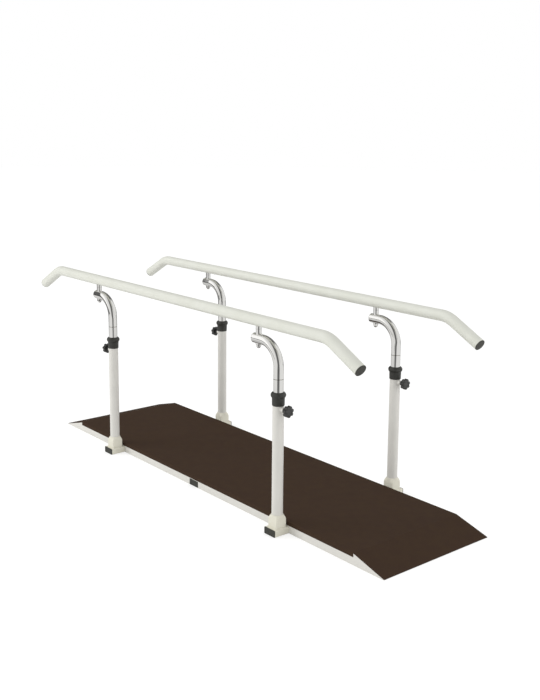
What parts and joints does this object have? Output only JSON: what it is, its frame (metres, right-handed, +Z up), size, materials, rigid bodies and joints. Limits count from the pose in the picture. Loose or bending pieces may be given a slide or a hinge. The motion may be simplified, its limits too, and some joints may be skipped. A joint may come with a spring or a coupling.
{
  "type": "walking parallel bars",
  "caption": "Rehabilitation walking parallel bars: handrails on swivelling telescopic arms over a low platform with a ramp at each end.",
  "frame": {"origin": "on the floor at the middle of the platform, under the middle cross tube", "axes": "+X along the bars, +Y across the platform, +Z up"},
  "size_m": [2.3224, 0.684, 0.8043],
  "materials": {
    "white_enamel": "semi-gloss powder coat",
    "cream_enamel": "satin powder coat",
    "rail_enamel": "semi-gloss powder coat",
    "rubber_sheet": "matt brown sheet",
    "plywood": "sanded plywood",
    "grey_plastic": "moulded, fine grain",
    "black_plastic": "moulded, fine grain",
    "nylon": "machined nylon",
    "brass": "turned",
    "chrome": "polished chrome plate"
  },
  "bodies": {
    "root": {"near_side_plate": "white_enamel", "far_side_plate": "white_enamel", "left_ramp_plate": "white_enamel", "right_ramp_plate": "white_enamel", "deck_board": "plywood", "deck_covering": "rubber_sheet", "left_cross_tube": "cream_enamel", "left_cross_tube_near_plug": "grey_plastic", "left_cross_tube_far_plug": "grey_plastic", "middle_cross_tube": "cream_enamel", "middle_cross_tube_near_plug": "grey_plastic", "middle_cross_tube_far_plug": "grey_plastic", "right_cross_tube": "cream_enamel", "right_cross_tube_near_plug": "grey_plastic", "right_cross_tube_far_plug": "grey_plastic", "near_left_post": "white_enamel", "near_left_post_socket": "cream_enamel", "near_left_collar": "black_plastic", "near_right_post": "white_enamel", "near_right_post_socket": "cream_enamel", "near_right_collar": "black_plastic", "far_left_post": "white_enamel", "far_left_post_socket": "cream_enamel", "far_left_collar": "black_plastic", "far_right_post": "white_enamel", "far_right_post_socket": "cream_enamel", "far_right_collar": "black_plastic"},
    "near_left_guide": {"near_left_guide_bush": "nylon"},
    "near_left_arm_body": {"near_left_arm": "chrome"},
    "near_left_pad": {"near_left_clamp_pad": "brass"},
    "near_left_knob": {"near_left_clamp_knob": "black_plastic"},
    "near_right_guide": {"near_right_guide_bush": "nylon"},
    "near_right_arm_body": {"near_right_arm": "chrome"},
    "near_right_pad": {"near_right_clamp_pad": "brass"},
    "near_right_knob": {"near_right_clamp_knob": "black_plastic"},
    "near_rail": {"near_handrail": "rail_enamel", "near_handrail_left_plug": "grey_plastic", "near_handrail_right_plug": "grey_plastic", "near_left_pivot_pin": "chrome", "near_left_pivot_nut": "chrome", "near_right_pivot_pin": "chrome", "near_right_pivot_nut": "chrome"},
    "far_left_guide": {"far_left_guide_bush": "nylon"},
    "far_left_arm_body": {"far_left_arm": "chrome"},
    "far_left_pad": {"far_left_clamp_pad": "brass"},
    "far_left_knob": {"far_left_clamp_knob": "black_plastic"},
    "far_right_guide": {"far_right_guide_bush": "nylon"},
    "far_right_arm_body": {"far_right_arm": "chrome"},
    "far_right_pad": {"far_right_clamp_pad": "brass"},
    "far_right_knob": {"far_right_clamp_knob": "black_plastic"},
    "far_rail": {"far_handrail": "rail_enamel", "far_handrail_left_plug": "grey_plastic", "far_handrail_right_plug": "grey_plastic", "far_left_pivot_pin": "chrome", "far_left_pivot_nut": "chrome", "far_right_pivot_pin": "chrome", "far_right_pivot_nut": "chrome"}
  },
  "joints": [
    {"name": "near_left_height", "type": "slide", "parent": "root", "child": "near_left_guide", "axis": [0, 0, 1], "range_m": [-0.08, 0.19]},
    {"name": "near_left_swivel", "type": "hinge", "parent": "near_left_guide", "child": "near_left_arm_body", "pos_m": [-0.5775, -0.305, 0.65], "axis": [0, 0, 1], "range_deg": [-90, 90]},
    {"name": "near_left_clamp_travel", "type": "slide", "parent": "root", "child": "near_left_pad", "axis": [-1, 0, 0], "range_m": [0, 0.003]},
    {"name": "near_left_knob_turn", "type": "hinge", "parent": "near_left_pad", "child": "near_left_knob", "pos_m": [-0.6275, -0.305, 0.4775], "axis": [-1, 0, 0], "range_deg": [0, 720]},
    {"name": "near_right_height", "type": "slide", "parent": "root", "child": "near_right_guide", "axis": [0, 0, 1], "range_m": [-0.08, 0.19]},
    {"name": "near_right_swivel", "type": "hinge", "parent": "near_right_guide", "child": "near_right_arm_body", "pos_m": [0.5775, -0.305, 0.65], "axis": [0, 0, 1], "range_deg": [-90, 90]},
    {"name": "near_right_clamp_travel", "type": "slide", "parent": "root", "child": "near_right_pad", "axis": [1, 0, 0], "range_m": [0, 0.003]},
    {"name": "near_right_knob_turn", "type": "hinge", "parent": "near_right_pad", "child": "near_right_knob", "pos_m": [0.6275, -0.305, 0.4775], "axis": [1, 0, 0], "range_deg": [0, 720]},
    {"name": "near_rail_pivot", "type": "hinge", "parent": "near_left_arm_body", "child": "near_rail", "pos_m": [-0.6925, -0.305, 0.72], "axis": [0, 0, 1], "range_deg": [-90, 90]},
    {"name": "far_left_height", "type": "slide", "parent": "root", "child": "far_left_guide", "axis": [0, 0, 1], "range_m": [-0.08, 0.19]},
    {"name": "far_left_swivel", "type": "hinge", "parent": "far_left_guide", "child": "far_left_arm_body", "pos_m": [-0.5775, 0.305, 0.65], "axis": [0, 0, 1], "range_deg": [-90, 90]},
    {"name": "far_left_clamp_travel", "type": "slide", "parent": "root", "child": "far_left_pad", "axis": [-1, 0, 0], "range_m": [0, 0.003]},
    {"name": "far_left_knob_turn", "type": "hinge", "parent": "far_left_pad", "child": "far_left_knob", "pos_m": [-0.6275, 0.305, 0.4775], "axis": [-1, 0, 0], "range_deg": [0, 720]},
    {"name": "far_right_height", "type": "slide", "parent": "root", "child": "far_right_guide", "axis": [0, 0, 1], "range_m": [-0.08, 0.19]},
    {"name": "far_right_swivel", "type": "hinge", "parent": "far_right_guide", "child": "far_right_arm_body", "pos_m": [0.5775, 0.305, 0.65], "axis": [0, 0, 1], "range_deg": [-90, 90]},
    {"name": "far_right_clamp_travel", "type": "slide", "parent": "root", "child": "far_right_pad", "axis": [1, 0, 0], "range_m": [0, 0.003]},
    {"name": "far_right_knob_turn", "type": "hinge", "parent": "far_right_pad", "child": "far_right_knob", "pos_m": [0.6275, 0.305, 0.4775], "axis": [1, 0, 0], "range_deg": [0, 720]},
    {"name": "far_rail_pivot", "type": "hinge", "parent": "far_left_arm_body", "child": "far_rail", "pos_m": [-0.6925, 0.305, 0.72], "axis": [0, 0, 1], "range_deg": [-90, 90]}
  ],
  "couplings": [
    {"joint": "near_left_clamp_travel", "follows": "near_left_knob_turn", "m_per_rad": 0.00023871},
    {"joint": "near_right_height", "follows": "near_left_height", "ratio": 1},
    {"joint": "near_right_swivel", "follows": "near_left_swivel", "ratio": 1},
    {"joint": "near_right_clamp_travel", "follows": "near_right_knob_turn", "m_per_rad": 0.00023871},
    {"joint": "near_rail_pivot", "follows": "near_left_swivel", "ratio": -1},
    {"joint": "far_left_clamp_travel", "follows": "far_left_knob_turn", "m_per_rad": 0.00023871},
    {"joint": "far_right_height", "follows": "far_left_height", "ratio": 1},
    {"joint": "far_right_swivel", "follows": "far_left_swivel", "ratio": 1},
    {"joint": "far_right_clamp_travel", "follows": "far_right_knob_turn", "m_per_rad": 0.00023871},
    {"joint": "far_rail_pivot", "follows": "far_left_swivel", "ratio": -1}
  ]
}
